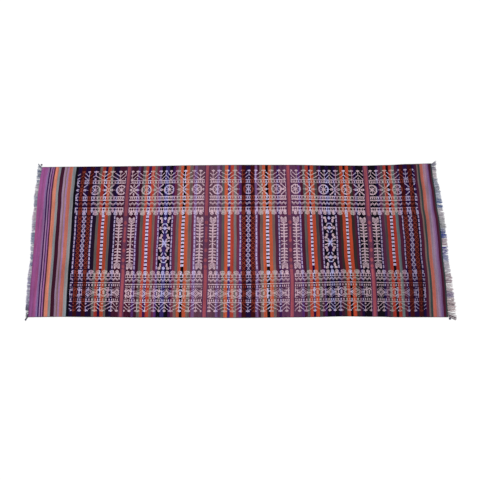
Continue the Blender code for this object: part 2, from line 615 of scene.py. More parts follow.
RIGHT_BUNCHES = (
    Bunch(-0.366, (150, 128, 138), (54, 42, 56)),
    Bunch(-0.340, (206, 176, 178), (96, 72, 84)),
    Bunch(-0.300, (214, 196, 198), (112, 92, 104)),
    Bunch(-0.270, (188, 172, 196), (78, 66, 108)),
    Bunch(-0.225, (222, 208, 212), (120, 106, 120)),
    Bunch(-0.180, (200, 176, 186), (100, 80, 96)),
    Bunch(-0.120, (222, 214, 222), (116, 108, 132)),
    Bunch(-0.085, (172, 176, 208), (86, 88, 138)),
    Bunch(-0.040, (120, 110, 176), (58, 50, 114)),
    Bunch(-0.005, (214, 190, 198), (112, 92, 112)),
    Bunch(0.045, (72, 88, 168), (34, 42, 104)),
    Bunch(0.100, (190, 188, 192), (92, 92, 100)),
    Bunch(0.150, (222, 214, 220), (116, 108, 124)),
    Bunch(0.195, (118, 136, 178), (56, 70, 114)),
    Bunch(0.240, (196, 202, 220), (96, 104, 136)),
    Bunch(0.310, (176, 182, 202), (70, 74, 96)),
    Bunch(0.360, (214, 202, 208), (110, 100, 112)),
    Bunch(0.420, (150, 146, 166), (66, 62, 84)),
)


def to_linear(colour: tuple[int, int, int]) -> np.ndarray:
    """Turns a picture's red, green and blue into light.

    Args:
        colour: Red, green and blue from 0 to 255.

    Returns:
        The same colour as amounts of light from 0 to 1.
    """
    share = np.asarray(colour, float) / 255
    return np.where(share <= 0.04045, share / 12.92, ((share + 0.055) / 1.055) ** 2.4)


def eased(places: list[float], values: list[float], at: np.ndarray) -> np.ndarray:
    """Reads a table at any places, with soft turns between its rows.

    Args:
        places: Where the rows stand, rising.
        values: The rows' values.
        at: Where to read.

    Returns:
        The values there.
    """
    stops, heights = np.asarray(places), np.asarray(values)
    at = np.clip(at, stops[0], stops[-1])
    after = np.clip(np.searchsorted(stops, at, side="right"), 1, len(stops) - 1)
    share = (at - stops[after - 1]) / (stops[after] - stops[after - 1])
    share = share * share * (3 - 2 * share)
    return heights[after - 1] + (heights[after] - heights[after - 1]) * share


@dataclass(frozen=True)
class LaidCloth:
    """The uneven outline and low relief of the cloth as it lies, and the way from plan to floor."""

    half_length: float = 0.990
    half_width: float = 0.387
    thickness: float = 0.0026
    rim_thickness: float = 0.0012
    rim_width: float = 0.003
    hem_rise: float = 0.0003
    hem_width: float = 0.024
    swell: float = 0.0001
    # How far from each end, in millimetres of the plan, the wefts' small ripple sets in
    still_ends: float = 120.0

    def place(self, along: np.ndarray, across: np.ndarray) -> tuple[np.ndarray, np.ndarray]:
        """Finds where shares of the cloth lie.

        Args:
            along: From -1 at the left end to 1 at the right end.
            across: From -1 at the near edge to 1 at the far edge.

        Returns:
            x and y.
        """
        x, y = along * self.half_length, across * self.half_width
        stops = [row.y for row in SHORT_EDGES]
        left = -self.half_length - eased(stops, [row.left for row in SHORT_EDGES], y)
        right = self.half_length + eased(stops, [row.right for row in SHORT_EDGES], y)
        stops = [row.x for row in LONG_EDGES]
        near = -self.half_width - eased(stops, [row.near for row in LONG_EDGES], x)
        far = self.half_width + eased(stops, [row.far for row in LONG_EDGES], x)
        x_share, y_share = (along + 1) / 2, (across + 1) / 2
        return left + (right - left) * x_share, near + (far - near) * y_share

    def wander(self, u: np.ndarray, v: np.ndarray) -> np.ndarray:
        """How far the wefts lean aside, since no stripe of a handwoven rug is quite straight.

        Args:
            u: Along the plan, in millimetres.
            v: Across the plan, in millimetres.

        Returns:
            The shift along the plan, in millimetres, which is nothing at both ends.
        """
        levels = np.array([np.interp(u, SWAY_STOPS, row.shifts) for row in SWAYS])
        stops = np.array([row.v for row in SWAYS])
        held = np.clip(v, stops[0], stops[-1])
        after = np.clip(np.searchsorted(stops, held, side="right"), 1, len(stops) - 1)
        share = (held - stops[after - 1]) / (stops[after] - stops[after - 1])
        index = np.arange(len(u))
        lower, upper = levels[after - 1, index], levels[after, index]
        hold = np.clip(np.minimum(u, PLAN_LENGTH - u) / self.still_ends, 0, 1)
        ripple = np.sin(v / 47 + u / 33) * 0.5 + np.sin(v / 21 - u / 61) * 0.35
        return lower + (upper - lower) * share + ripple * hold

    def sag(self, u: np.ndarray, v: np.ndarray) -> np.ndarray:
        """How far the pattern rows drift from their straight course.

        Args:
            u: Along the plan, in millimetres.
            v: Across the plan, in millimetres.

        Returns:
            The shift across the plan, in millimetres.
        """
        stops = [row.u for row in SAGS]
        far = np.interp(u, stops, [row.far for row in SAGS])
        near = np.interp(u, stops, [row.near for row in SAGS])
        far_hold = np.clip(1 - np.abs(v - FAR_MIDDLE) / FAR_REACH, 0, 1)
        near_hold = np.clip(1 - np.abs(v - NEAR_MIDDLE) / NEAR_REACH, 0, 1)
        return far * far_hold + near * near_hold

    def on_floor(self, u: np.ndarray, v: np.ndarray) -> tuple[np.ndarray, np.ndarray]:
        """Takes places on the plan to the floor.

        Args:
            u: Along the plan, in millimetres.
            v: Across the plan, in millimetres.

        Returns:
            x and y.
        """
        shifted = u + self.wander(u, v)
        return self.place(2 * shifted / PLAN_LENGTH - 1, 1 - 2 * v / PLAN_WIDTH)

    def height(self, u: np.ndarray, v: np.ndarray) -> np.ndarray:
        """The height of the face: low at the rim, a little thick at the hem, slow swells inside.

        Args:
            u: Along the plan, in millimetres.
            v: Across the plan, in millimetres.

        Returns:
            The height over the floor.
        """
        inset = np.minimum(np.minimum(u, PLAN_LENGTH - u), np.minimum(v, PLAN_WIDTH - v)) * MM
        rim = 1 - np.clip(inset / self.rim_width, 0, 1)
        hem = np.sin(np.pi * np.clip(inset / self.hem_width, 0, 1))
        swell = np.sin(5 * np.pi * u / PLAN_LENGTH) * np.cos(2 * np.pi * v / PLAN_WIDTH)
        full = self.thickness + self.hem_rise * hem + self.swell * swell
        return full - (self.thickness - self.rim_thickness) * rim * rim


class StripePlan:
    """All stripes of the rug from left to right, what each is woven in, and its pattern picks."""

    def __init__(self) -> None:
        """Puts the margins, the broad columns and the guards between them in order."""
        stripes = list(LEFT_MARGIN)
        starts = [COLUMNS_START] + [guard.second_dashes for guard in GUARDS]
        ends = [guard.start for guard in GUARDS] + [COLUMNS_END]
        for number, (start, end) in enumerate(zip(starts, ends)):
            if number % 4 == 0:
                stripes += self.lattice(start, end)
            elif number % 4 == 2:
                stripes += self.blossom(start, end, BLOSSOM_GROUNDS[number // 4])
            else:
                stripes += self.ladders(start, end, LADDER_GROUNDS[number // 2])
            if number < len(GUARDS):
                stripes += self.guard(GUARDS[number], GUARD_DYES[number])
        stripes += RIGHT_MARGIN
        self.stripes = stripes
        self.ends = np.array([stripe.end for stripe in stripes])
        self.starts = np.concatenate(([0.0], self.ends[:-1]))
        self.grounds = np.array([to_linear(stripe.ground.value) for stripe in stripes])
        marks = [(stripe.mark or stripe.ground).value for stripe in stripes]
        self.marks = np.array([to_linear(mark) for mark in marks])
        edges, owners = [], []
        for number, stripe in enumerate(stripes):
            sides = np.linspace(self.starts[number], stripe.end, stripe.picks + 1)
            edges += list(zip(sides[:-1], sides[1:])) if stripe.picks else []
            owners += [number] * stripe.picks
        self.pick_edges = np.array(edges)
        self.pick_stripe = np.array(owners)

    @staticmethod
    def guard(ends: Guard, dyes: GuardDyes) -> list[Stripe]:
        """The nine stripes of one guard.

        Args:
            ends: Where they end.
            dyes: Their grounds.

        Returns:
            The stripes.
        """
        marks = (
            Dye.LAVENDER, Dye.PINK_GREY, Dye.PALE_GREY, Dye.PALE_SALMON, Dye.WHITE,
            Dye.PALE_SALMON, Dye.PALE_GREY, Dye.PINK_GREY, Dye.LAVENDER,
        )
        motifs = [Motif.PLAIN] * len(marks)
        motifs[0] = motifs[-1] = Motif.DASHES
        motifs[4] = Motif.SQUARES
        return [Stripe(*row) for row in zip(ends[1:], dyes, marks, motifs, GUARD_PICKS)]

    @staticmethod
    def lattice(start: float, end: float) -> list[Stripe]:
        """A rust, a lavender and a rust stripe side by side.

        Args:
            start: Where they start.
            end: Where they end.

        Returns:
            The stripes.
        """
        side = (end - start) * RUST_SHARE
        return [
            Stripe(start + side, Dye.RUST_BLACK, Dye.RUST, Motif.LOZENGES, 8),
            Stripe(end - side, Dye.INDIGO, Dye.LAVENDER, Motif.CROSSES, 9),
            Stripe(end, Dye.RUST_BLACK, Dye.RUST, Motif.LOZENGES, 8),
        ]

    @staticmethod
    def ladders(start: float, end: float, ground: Dye) -> list[Stripe]:
        """Two pink ladders with a crimson stripe between them.

        Args:
            start: Where they start.
            end: Where they end.
            ground: The ground of the ladders.

        Returns:
            The stripes.
        """
        rail = (end - start) * RAIL_SHARE
        edge = (end - start) * EDGE_SHARE
        return [
            Stripe(start + rail, ground, Dye.PINK_WHITE, Motif.LADDER, 15),
            Stripe(start + rail + edge, Dye.HEATHER, None, Motif.PLAIN, 2),
            Stripe(end - rail - edge, Dye.CRIMSON, Dye.HEATHER, Motif.BEADS, 5),
            Stripe(end - rail, Dye.HEATHER, None, Motif.PLAIN, 2),
            Stripe(end, ground, Dye.PINK_WHITE, Motif.LADDER, 15),
        ]

    @staticmethod
    def blossom(start: float, end: float, ground: Dye) -> list[Stripe]:
        """A black column with pinkish blossoms at its sides and lavender ones in its middle.

        Args:
            start: Where it starts.
            end: Where it ends.
            ground: The ground of its middle stripe.

        Returns:
            The stripes.
        """
        third = (end - start) / 3
        return [
            Stripe(start + third, Dye.BLACK, Dye.PINK_WHITE, Motif.PLAIN, 9),
            Stripe(end - third, ground, Dye.BLUE_LAVENDER, Motif.BLOSSOM, 9),
            Stripe(end, Dye.BLACK, Dye.PINK_WHITE, Motif.PLAIN, 9),
        ]

    def at(self, u: np.ndarray) -> np.ndarray:
        """Finds the stripes at places along the plan.

        Args:
            u: The places, in millimetres.

        Returns:
            The stripes' numbers.
        """
        return np.clip(np.searchsorted(self.ends, u, side="right"), 0, len(self.ends) - 1)

    def lines(self, widest: float) -> np.ndarray:
        """Places along the plan where the cloth's mesh has a line.

        Args:
            widest: The widest a cell may be, in millimetres.

        Returns:
            The places, with one on each stripe's edge.
        """
        found = list(RIM_LINES)
        for start, end in zip(self.starts, self.ends):
            cells = 2 * max(1, math.ceil((end - start) / widest / 2))
            found += [start + (end - start) * k / cells for k in range(cells)]
        found += [PLAN_LENGTH - line for line in RIM_LINES]
        places = sorted(place for place in found if place <= PLAN_LENGTH)
        kept = [places[0]]
        for place in places[1:]:
            if place - kept[-1] > NARROWEST_CELL:
                kept.append(place)
        kept[-1] = PLAN_LENGTH
        return np.array(kept)


def charted(chart: tuple[str, ...], whole: bool = False, quarter: bool = False) -> np.ndarray:
    """Turns a chart into marks.

    Args:
        chart: Its lines.
        whole: True if the chart isn't mirrored at all.
        quarter: True if it is mirrored across the rug too.

    Returns:
        True for each marked place, a row for each line.
    """
    marks = np.array([[sign == "#" for sign in line] for line in chart])
    if not whole:
        marks = np.hstack((marks[:, :0:-1], marks))
    if quarter:
        marks = np.vstack((marks[:0:-1], marks))
    return marks


@dataclass
class PatternPlan:
    """Where pattern wefts float on the face: picks along the rug by rows across it."""

    stripes: StripePlan
    marks: np.ndarray = field(init=False)
    picks: np.ndarray = field(init=False)
    rows: np.ndarray = field(init=False)
    places: np.ndarray = field(init=False)

    def __post_init__(self) -> None:
        """Starts with a bare plan and draws every row on it."""
        shape = (round(PLAN_WIDTH / ROW), len(self.stripes.pick_stripe))
        self.marks = np.zeros(shape, bool)
        self.rows, self.picks = np.indices(shape)
        self.places = np.broadcast_to(self.stripes.pick_edges.mean(axis=1) / ROW, shape)
        self.draw_far_rows()
        self.draw_near_rows()
        motifs = [self.stripes.stripes[owner].motif for owner in self.stripes.pick_stripe]
        self.marks[:, [motif is Motif.BEADS for motif in motifs]] = False
        self.draw_columns()
        bare = [self.stripes.stripes[owner].mark is None for owner in self.stripes.pick_stripe]
        self.marks[:, bare] = False

    def put(self, shape: np.ndarray, pick: int, row: int) -> None:
        """Adds marks to the plan.

        Args:
            shape: The marks.
            pick: The first pick.
            row: The first row.
        """
        low = max(0, -pick)
        high = min(shape.shape[1], self.marks.shape[1] - pick)
        if high > low:
            part = self.marks[row : row + shape.shape[0], pick + low : pick + high]
            part |= shape[:, low:high]

    def repeat(self, shape: np.ndarray, period: int, middle: int, row: int) -> None:
        """Adds a motif again and again along the rug.

        Args:
            shape: The motif.
            period: The repeat in picks.
            middle: The middle pick of one of the motifs.
            row: The first row.
        """
        half = shape.shape[1] // 2
        for place in range(middle - period, self.marks.shape[1] + period, period):
            self.put(shape, place - half, row)

    def bands(self, bars: tuple[Bar, ...], ticks: tuple[Ticks, ...]) -> None:
        """Marks whole rows and ticked rows.

        Args:
            bars: The whole rows.
            ticks: The rows with ticks.
        """
        for row in bars:
            self.marks[row.first : row.last] = True
        for row in ticks:
            part = np.s_[row.first : row.last]
            self.marks[part] |= (self.picks[part] - row.start) % 4 < 2

    def oval(self, middle: tuple[float, float], radii: tuple[float, float], on: bool = True) -> None:
        """Marks an oval.

        Args:
            middle: Its middle, in rows' heights along the rug and in rows across it.
            radii: Its radii in rows' heights.
            on: False to leave bare ground instead.
        """
        away = (self.places - middle[0]) / radii[0], (self.rows - middle[1]) / radii[1]
        self.marks[np.hypot(*away) <= 1] = on

    def stroke(self, start: tuple[float, float], stop: tuple[float, float], width: float) -> None:
        """Marks a straight stroke.

        Args:
            start: One end, in rows' heights along the rug and in rows across it.
            stop: The other end.
            width: Its width in rows' heights.
        """
        run = stop[0] - start[0], stop[1] - start[1]
        places, rows = self.places - start[0], self.rows - start[1]
        length = run[0] ** 2 + run[1] ** 2
        share = np.clip((places * run[0] + rows * run[1]) / length, 0, 1)
        away = np.hypot(places - share * run[0], rows - share * run[1])
        self.marks[away <= width / 2] = True

    def ring(self, place: float, row: int) -> None:
        """A ring with an eight-leaved blossom inside.

        Args:
            place: Its middle along the rug, in rows' heights.
            row: Its middle row.
        """
        self.oval((place, row), (10.9, 11.3))
        self.oval((place, row), (7.9, 8.5), on=False)
        self.oval((place, row), (3.0, 3.2))
        self.stroke((place - 8, row), (place + 8, row), 1.6)
        self.stroke((place, row - 9), (place, row + 9), 1.7)
        for side in (-1, 1):
            self.stroke((place - 6, row - side * 6), (place + 6, row + side * 6), 1.5)

    def star(self, place: float, row: int) -> None:
        """Two crossed strokes with a leaf at each side, above and below.

        Args:
            place: Its middle along the rug, in rows' heights.
            row: Its middle row.
        """
        for side in (-1, 1):
            for end in (-1, 1):
                self.stroke((place + side, row + end * 3), (place + side * 10, row + end * 12), 2.5)
            self.stroke((place, row + side * 8), (place, row + side * 12), 2.4)
            self.oval((place + side * 6.5, row), (3.8, 3.0))
            self.oval((place + side * 6.5, row), (1.3, 1.0), on=False)
            self.stroke((place + side * 10, row), (place + side * 13, row), 1.8)
        self.stroke((place, row - 3), (place, row + 3), 2.4)

    def draw_far_rows(self) -> None:
        """The pattern rows along the far edge."""
        self.repeat(charted(FERN), FERN_REPEAT, middle=20, row=11)
        self.bands(FAR_BARS, FAR_TICKS)
        for place in RINGS:
            self.ring(place / ROW, RING_ROW)
        for place, following in zip((STARS_START, *RINGS), (*RINGS, STARS_END)):
            self.star((place + following) / 2 / ROW, RING_ROW)
        self.repeat(charted(ZIGZAG), ZIGZAG_REPEAT, middle=4, row=82)
        self.repeat(charted(LACE), LACE_REPEAT, middle=5, row=95)

    def draw_near_rows(self) -> None:
        """The pattern rows along the near edge."""
        self.repeat(charted(SHORT_LACE[::-1]), LACE_REPEAT, middle=4, row=232)
        self.repeat(charted(ZIGZAG), ZIGZAG_REPEAT, middle=3, row=247)
        self.bands(NEAR_BARS, NEAR_TICKS)
        self.repeat(charted(MOTH, quarter=True), MEDALLION_REPEAT, middle=10, row=269)
        self.repeat(charted(MEDALLION, quarter=True), MEDALLION_REPEAT, middle=32, row=269)
        self.repeat(charted(SHORT_FERN[::-1]), FERN_REPEAT, middle=17, row=299)

    def draw_columns(self) -> None:
        """The motifs in the middle of the rug, each in its own stripes."""
        draw = {
            Motif.DASHES: self.dashes,
            Motif.SQUARES: self.squares,
            Motif.LADDER: self.ladder,
            Motif.CROSSES: self.crosses,
            Motif.LOZENGES: self.lozenges,
            Motif.BLOSSOM: self.blossoms,
            Motif.BEADS: self.beads,
        }
        for number, stripe in enumerate(self.stripes.stripes):
            if stripe.motif in draw:
                first = int(np.argmax(self.stripes.pick_stripe == number))
                draw[stripe.motif](first, first + stripe.picks)

    def dashes(self, first: int, last: int) -> None:
        """A chain of dashes.

        Args:
            first: The stripe's first pick.
            last: The pick after its last.
        """
        for row in range(MIDDLE_FIRST, MIDDLE_LAST - 6, 9):
            self.marks[row : row + 7, first + 1 : last - 1] = True

    def squares(self, first: int, last: int) -> None:
        """A chain of squares, in pairs.

        Args:
            first: The stripe's first pick.
            last: The pick after its last.
        """
        guard = int(np.searchsorted([row.start for row in GUARDS], self.places[0, first] * ROW)) - 1
        for row in range(SQUARE_STARTS[guard], MIDDLE_LAST - 4, 16):
            self.marks[row : row + 5, first:last] = True
            self.marks[row + 8 : min(row + 13, MIDDLE_LAST), first:last] = True

    def mirrored(self, chart: tuple[str, ...], pick: int, away: int) -> None:
        """Adds a motif on both sides of the rug's middle row.

        Args:
            chart: Its chart, from the middle row outwards.
            pick: Its middle pick.
            away: Its first row from the middle row.
        """
        half = len(chart[0]) - 1
        self.put(charted(chart), pick - half, MIRROR_ROW + away)
        self.put(charted(chart[::-1]), pick - half, MIRROR_ROW + 1 - away - len(chart))

    def ladder(self, first: int, last: int) -> None:
        """A stem with rungs, a leaf at each end and two chevrons that meet.

        Args:
            first: The stripe's first pick.
            last: The pick after its last.
        """
        pick = (first + last) // 2
        self.mirrored(CHEVRON, pick, CHEVRON_ROW)
        self.mirrored(("##......",) * STEM_ROWS, pick, STEM_ROW)
        for away in RUNG_ROWS:
            self.mirrored(RUNG, pick, away)
        self.mirrored(LEAF, pick, LEAF_ROW)

    def chain(self, shape: np.ndarray, first: int, last: int) -> None:
        """Adds a motif every ten or eleven rows across the rug's middle, the first one cut short.

        Args:
            shape: The motif.
            first: The stripe's first pick.
            last: The pick after its last.
        """
        for number in range(CHAIN_COUNT):
            self.put(shape, first, MIDDLE_FIRST + CHAIN_CUT + round(CHAIN_STEP * number))
        self.put(shape[-CHAIN_CUT:], first, MIDDLE_FIRST)
        self.marks[MIDDLE_LAST : MIDDLE_LAST + 2, first:last] = False

    def crosses(self, first: int, last: int) -> None:
        """Lavender strokes that cross, with a diamond between each two crossings."""
        self.chain(charted(CROSSING), first, last)

    def lozenges(self, first: int, last: int) -> None:
        """Rust lozenges on dark ground."""
        self.chain(charted(LOZENGE, whole=True), first, last)

    def beads(self, first: int, last: int) -> None:
        """Violet wefts that leave crimson beads bare.

        Args:
            first: The stripe's first pick.
            last: The pick after its last.
        """
        pick = (first + last) // 2
        part = np.s_[MIDDLE_FIRST:MIDDLE_LAST, first:last]
        self.marks[part] = True
        self.marks[LONG_BEAD.first : LONG_BEAD.last, pick - 1 : pick + 2] = False
        for row in BEAD_ROWS:
            bead = np.abs(self.picks - pick) * 0.9 + np.abs(self.rows - row) <= 4.4
            self.marks[bead] = False

    def blossoms(self, first: int, last: int) -> None:
        """A tall plant: blossoms, leaves, a barred stem and a cross in the middle.

        Args:
            first: The first pick of its middle stripe.
            last: The pick after that stripe's last.
        """
        place, row = float(self.places[0, (first + last) // 2]), MIRROR_ROW
        for end in (-1, 1):
            for petal in PETALS:
                for side in (-1, 1):
                    middle = (place + side * petal.away, row + end * petal.up)
                    self.oval(middle, (petal.half_width, petal.half_height))
            for up, height in ((53.5, 3.8), (32, 4.6)):
                diamond = np.abs(self.places - place) + np.abs(self.rows - row - end * up)
                self.marks[diamond <= height] = True
            self.stroke((place - 8, row + end * 32), (place + 8, row + end * 32), 2.1)
            self.stroke((place - 3, row + end * 41.5), (place + 3, row + end * 41.5), 2.1)
            for side in (-1, 1):
                self.stroke(
                    (place + side * 3.6, row + end * 41), (place + side * 5.6, row + end * 37), 2.4
                )
                self.stroke(
                    (place + side * 5, row + end * 26), (place + side * 2.6, row + end * 22), 2.4
                )
                self.stroke((place, row), (place + side * 4.6, row + end * 8), 2.7)
                self.stroke((place, row + end), (place + side * 10, row + end * 4.6), 2.6)

    def floats(self, first: int, last: int) -> np.ndarray:
        """Breaks the marks between two rows into stitches of one or two rows.

        Args:
            first: The first row.
            last: The row after the last.

        Returns:
            A row for each stitch: its pick, its first row and its number of rows.
        """
        part = self.marks[first:last].T.astype(np.int8)
        edges = np.diff(np.pad(part, ((0, 0), (1, 1))), axis=1)
        column, start = np.nonzero(edges == 1)
        stop = np.nonzero(edges == -1)[1]
        found = []
        for where, begin, end in zip(column, start, stop):
            row = begin
            if (end - begin) % 2 and where % 2:
                found.append((where, row + first, 1))
                row += 1
            while row < end:
                count = min(2, end - row)
                found.append((where, row + first, count))
                row += count
        return np.array(found)


def repeated(shape: bmesh.types.BMesh, count: int, name: str) -> bpy.types.Mesh:
    """Joins many copies of a small shape into one mesh, copy after copy.

    Args:
        shape: The small shape, which is used up.
        count: The number of copies.
        name: The mesh's name.

    Returns:
        The mesh, with all copies on one place.
    """
    pattern = bpy.data.meshes.new("pattern_shape")
    shape.to_mesh(pattern)
    shape.free()
    holder = bpy.data.objects.new("pattern_shape", pattern)
    bpy.context.scene.collection.objects.link(holder)
    array = holder.modifiers.new("copies", "ARRAY")
    array.count = count
    array.use_relative_offset = False
    array.use_constant_offset = True
    array.constant_offset_displace = (0, 0, 0)
    depsgraph = bpy.context.evaluated_depsgraph_get()
    mesh = bpy.data.meshes.new_from_object(holder.evaluated_get(depsgraph))
    mesh.name = name
    bpy.data.objects.remove(holder, do_unlink=True)
    bpy.data.meshes.remove(pattern)
    return mesh


def vertex_places(mesh: bpy.types.Mesh) -> np.ndarray:
    """Reads a mesh's vertices.

    Args:
        mesh: The mesh.

    Returns:
        A row of x, y and z for each vertex.
    """
    places = np.empty(len(mesh.vertices) * 3)
    mesh.vertices.foreach_get("co", places)
    return places.reshape(-1, 3)


def corner_vertices(mesh: bpy.types.Mesh) -> np.ndarray:
    """Reads which vertex each face corner uses."""
    corners = np.empty(len(mesh.loops), np.int32)
    mesh.loops.foreach_get("vertex_index", corners)
    return corners


def corner_faces(mesh: bpy.types.Mesh) -> np.ndarray:
    """Reads which face each corner belongs to."""
    counts = np.empty(len(mesh.polygons), np.int32)
    mesh.polygons.foreach_get("loop_total", counts)
    return np.repeat(np.arange(len(counts)), counts)


def set_colours(mesh: bpy.types.Mesh, colours: np.ndarray, domain: str) -> None:
    """Stores the yarn's colours.

    Args:
        mesh: The mesh.
        colours: A row of red, green and blue light for each element.
        domain: POINT or CORNER.
    """
    layer = mesh.color_attributes.new(YARN_COLOUR, "FLOAT_COLOR", domain)
    full = np.ones((len(colours), 4), np.float32)
    full[:, :3] = np.clip(colours, 0, 1)
    layer.data.foreach_set("color", full.ravel())
    mesh.color_attributes.active_color = layer


def set_map(mesh: bpy.types.Mesh, places: np.ndarray) -> None:
    """Stores a map with a place for each face corner.

    Args:
        mesh: The mesh.
        places: A row of two shares from 0 to 1 for each corner.
    """
    layer = mesh.uv_layers.new(name=PICTURE_MAP)
    layer.uv.foreach_set("vector", places.astype(np.float32).ravel())


def add_piece(name: str, mesh: bpy.types.Mesh, material: bpy.types.Material) -> bpy.types.Object:
    """Makes a finished mesh a piece of the rug.

    Args:
        name: The piece's name.
        mesh: Its mesh, in place.
        material: Its finish.

    Returns:
        The piece.
    """
    mesh.materials.clear()
    mesh.materials.append(material)
    mesh.shade_smooth()
    piece = bpy.data.objects.new(name, mesh)
    bpy.context.scene.collection.objects.link(piece)
    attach(piece, "root")
    return piece


class NodeBench:
    """Adds nodes to a material and joins them."""

    def __init__(self, name: str) -> None:
        """Starts a material with nothing but its Principled shader.

        Args:
            name: The material's name.
        """
        self.material = bpy.data.materials.new(name)
        self.material.use_nodes = True
        self.tree = self.material.node_tree
        self.shader = self.tree.nodes["Principled BSDF"]

    def add(self, kind: str, **settings: object) -> bpy.types.Node:
        """Adds a node.

        Args:
            kind: Its type.
            **settings: Its properties, or values of its inputs by number as in_0.

        Returns:
            The node.
        """
        node = self.tree.nodes.new(kind)
        for name, value in settings.items():
            if name.startswith("in_"):
                node.inputs[int(name[3:])].default_value = value
            else:
                setattr(node, name, value)
        return node

    def join(self, source: bpy.types.NodeSocket, target: bpy.types.NodeSocket) -> None:
        """Links an output to an input."""
        self.tree.links.new(source, target)

    def sums(self, operation: str, first: object, second: object) -> bpy.types.NodeSocket:
        """Adds a Math node.

        Args:
            operation: What it does.
            first: A socket or a number.
            second: A socket or a number.

        Returns:
            Its output.
        """
        node = self.add("ShaderNodeMath", operation=operation)
        for number, value in enumerate((first, second)):
            if isinstance(value, bpy.types.NodeSocket):
                self.join(value, node.inputs[number])
            else:
                node.inputs[number].default_value = value
        return node.outputs[0]

    def times(self, first: bpy.types.NodeSocket, second: bpy.types.NodeSocket) -> bpy.types.NodeSocket:
        """Multiplies two colours.

        Args:
            first: One colour.
            second: The other.

        Returns:
            Their product.
        """
        node = self.add("ShaderNodeMix", data_type="RGBA", blend_type="MULTIPLY")
        node.inputs["Factor"].default_value = 1
        self.join(first, node.inputs["A"])
        self.join(second, node.inputs["B"])
        return node.outputs["Result"]

    def tones(
        self, source: bpy.types.NodeSocket, dark: float, light: float
    ) -> bpy.types.NodeSocket:
        """Turns a noise into a grey between two tones.

        Args:
            source: The noise.
            dark: The tone where it is low.
            light: The tone where it is high.

        Returns:
            The grey.
        """
        node = self.add("ShaderNodeMapRange")
        node.inputs["From Min"].default_value = NOISE_LOW
        node.inputs["From Max"].default_value = 1 - NOISE_LOW
        node.inputs["To Min"].default_value = dark
        node.inputs["To Max"].default_value = light
        self.join(source, node.inputs["Value"])
        return node.outputs["Result"]

    def blend(
        self,
        source: bpy.types.NodeSocket,
        first: tuple[float, float, float, float],
        second: tuple[float, float, float, float],
    ) -> bpy.types.NodeSocket:
        """Blends two colours by a noise.

        Args:
            source: The noise.
            first: The colour where it is low.
            second: The colour where it is high.

        Returns:
            The blend.
        """
        node = self.add("ShaderNodeMix", data_type="RGBA")
        self.join(self.tones(source, 0, 1), node.inputs["Factor"])
        node.inputs["A"].default_value = first
        node.inputs["B"].default_value = second
        return node.outputs["Result"]

    def noise(
        self, scale: tuple[float, float, float], detail: float, turn: float = 0
    ) -> bpy.types.NodeSocket:
        """Adds a noise on the piece's own coordinates.

        Args:
            scale: Its scale along x, y and z.
            detail: Its detail.
            turn: A turn about z, in radians.

        Returns:
            The noise, about 0 to 1.
        """
        place = self.add("ShaderNodeTexCoord").outputs["Object"]
        mapping = self.add("ShaderNodeMapping")
        mapping.inputs["Scale"].default_value = scale
        mapping.inputs["Rotation"].default_value = (0, 0, turn)
        self.join(place, mapping.inputs["Vector"])
        noise = self.add("ShaderNodeTexNoise")
        noise.inputs["Scale"].default_value = 1
        noise.inputs["Detail"].default_value = detail
        self.join(mapping.outputs[0], noise.inputs["Vector"])
        return noise.outputs["Fac"]

    def bump(self, height: bpy.types.NodeSocket, strength: float, distance: float) -> None:
        """Raises the surface by a height.

        Args:
            height: The height, about 0 to 1.
            strength: How much of it shows.
            distance: How high 1 is, in metres.
        """
        node = self.add("ShaderNodeBump")
        node.inputs["Strength"].default_value = strength
        node.inputs["Distance"].default_value = distance
        self.join(height, node.inputs["Height"])
        self.join(node.outputs["Normal"], self.shader.inputs["Normal"])

    def yarn(self) -> bpy.types.NodeSocket:
        """Reads the yarn's own colour from the mesh."""
        return self.add("ShaderNodeVertexColor", layer_name=YARN_COLOUR).outputs["Color"]

    def matte(self, roughness: float, sheen: float) -> None:
        """Sets the shader's plain values for wool.

        Args:
            roughness: Its roughness.
            sheen: Its soft gloss at low angles.
        """
        self.shader.inputs["Roughness"].default_value = roughness
        self.shader.inputs["Specular IOR Level"].default_value = 0.06
        self.shader.inputs["Sheen Weight"].default_value = sheen
        self.shader.inputs["Sheen Roughness"].default_value = 0.5


